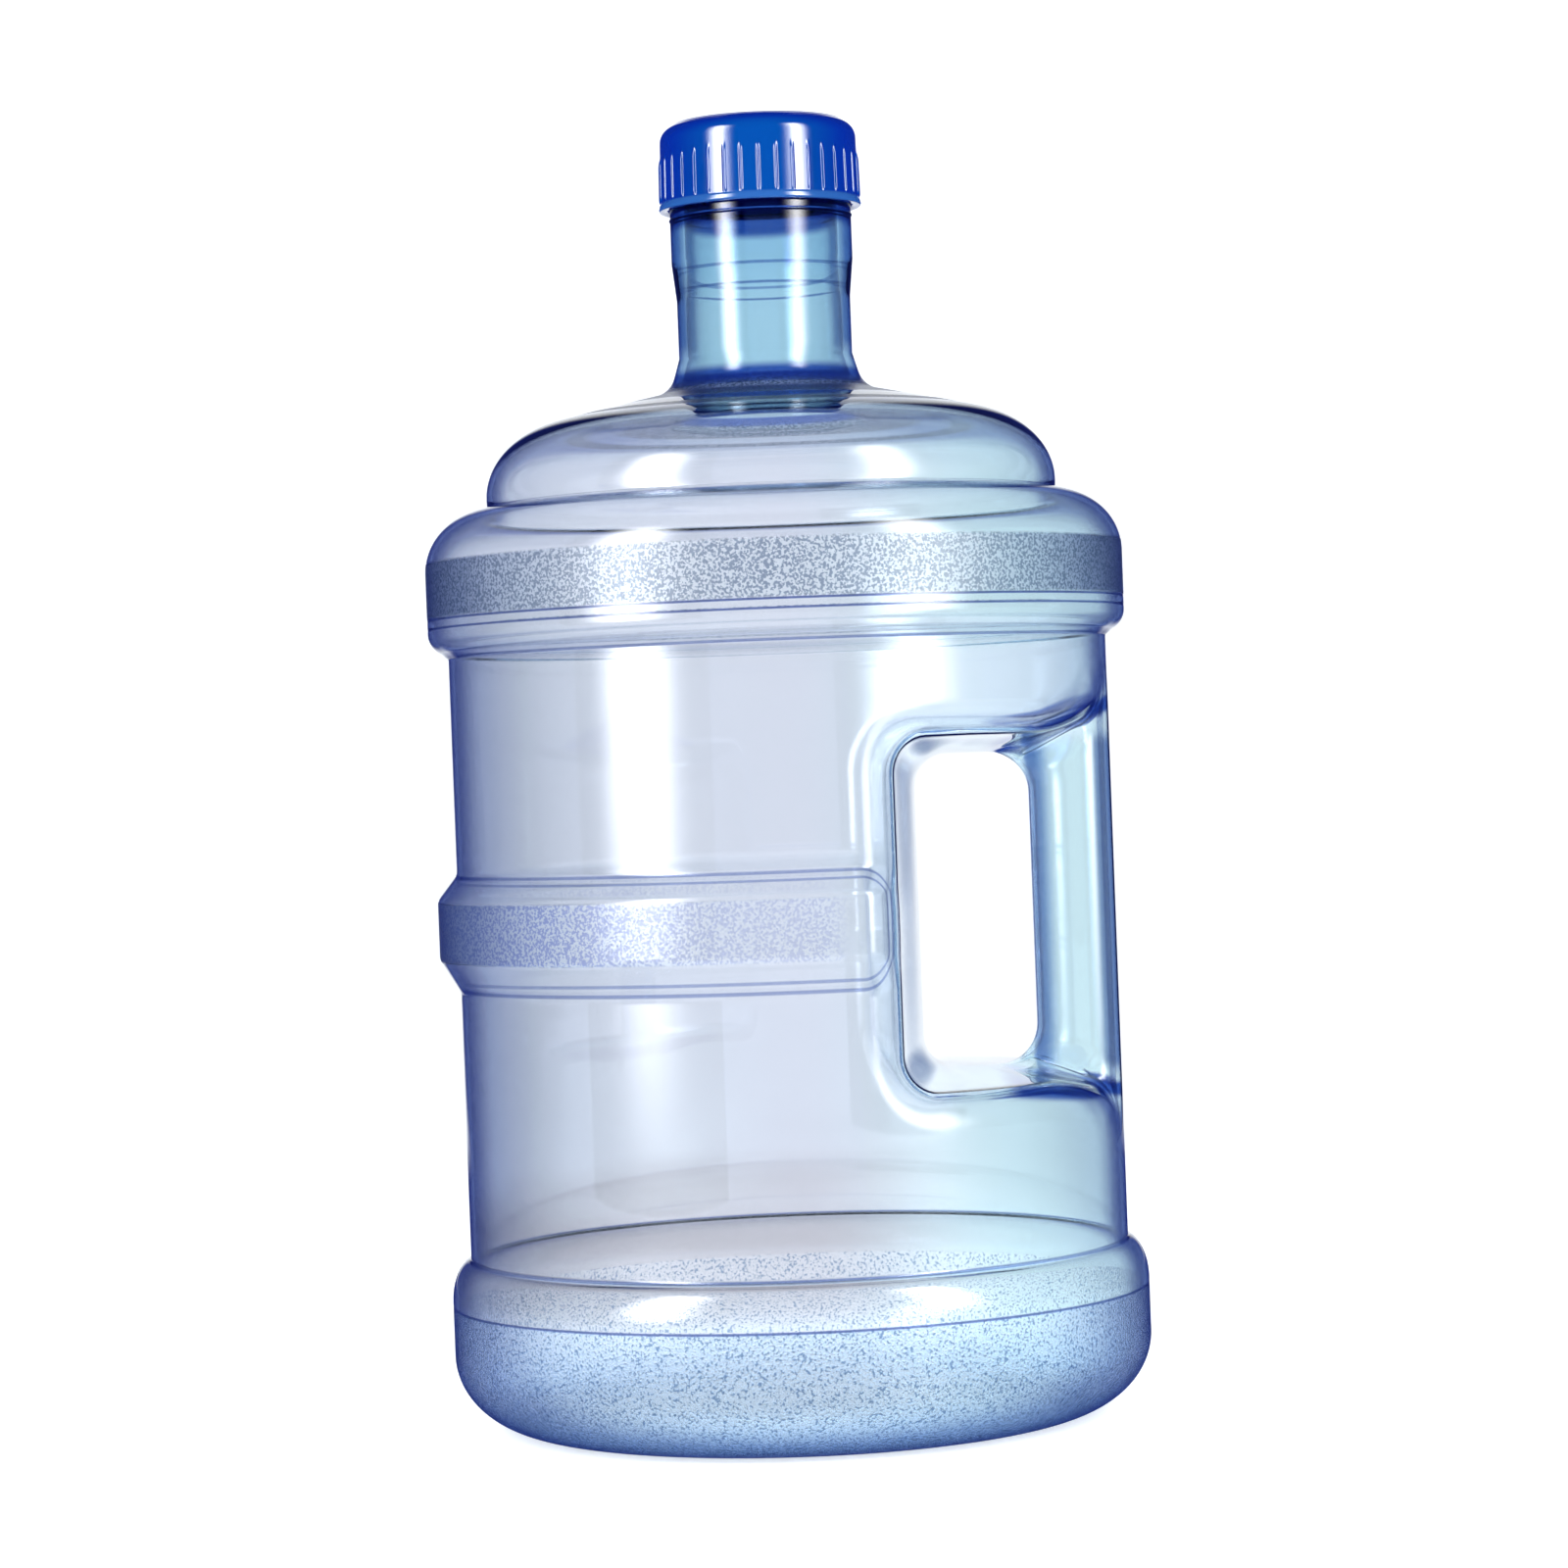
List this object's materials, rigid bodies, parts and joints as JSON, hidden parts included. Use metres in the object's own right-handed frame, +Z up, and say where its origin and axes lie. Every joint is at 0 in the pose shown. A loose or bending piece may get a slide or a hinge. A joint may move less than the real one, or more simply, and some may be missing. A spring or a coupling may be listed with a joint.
{
  "type": "water jug with handle and screw cap",
  "caption": "Clear blue-tinted moulded water jug: ribbed cylindrical body, domed shoulder, tall neck, hollow hand grip in the side and a blue screw cap.",
  "frame": {"origin": "middle of the base, on the neck's axis, in the plane the jug stands on", "axes": "+Z up along the neck's axis, +X towards the handle"},
  "size_m": [0.2128, 0.2128, 0.3972],
  "materials": {
    "clear_blue_plastic": "clear gloss, grained bands",
    "blue_plastic": "gloss",
    "white_rubber": "satin"
  },
  "bodies": {
    "jug": {"bottle": "clear_blue_plastic"},
    "seal": {"cap_washer": "white_rubber"},
    "screw_cap": {"cap": "blue_plastic"}
  },
  "joints": [
    {"name": "cap_lift", "type": "slide", "parent": "jug", "child": "seal", "axis": [0, 0, 1], "range_m": [0, 0.0247]},
    {"name": "cap_turn", "type": "hinge", "parent": "seal", "child": "screw_cap", "pos_m": [0, 0, 0.38], "axis": [0, 0, 1], "range_deg": [0, 740]}
  ],
  "couplings": [
    {"joint": "cap_lift", "follows": "cap_turn", "m_per_rad": 0.0019099}
  ]
}
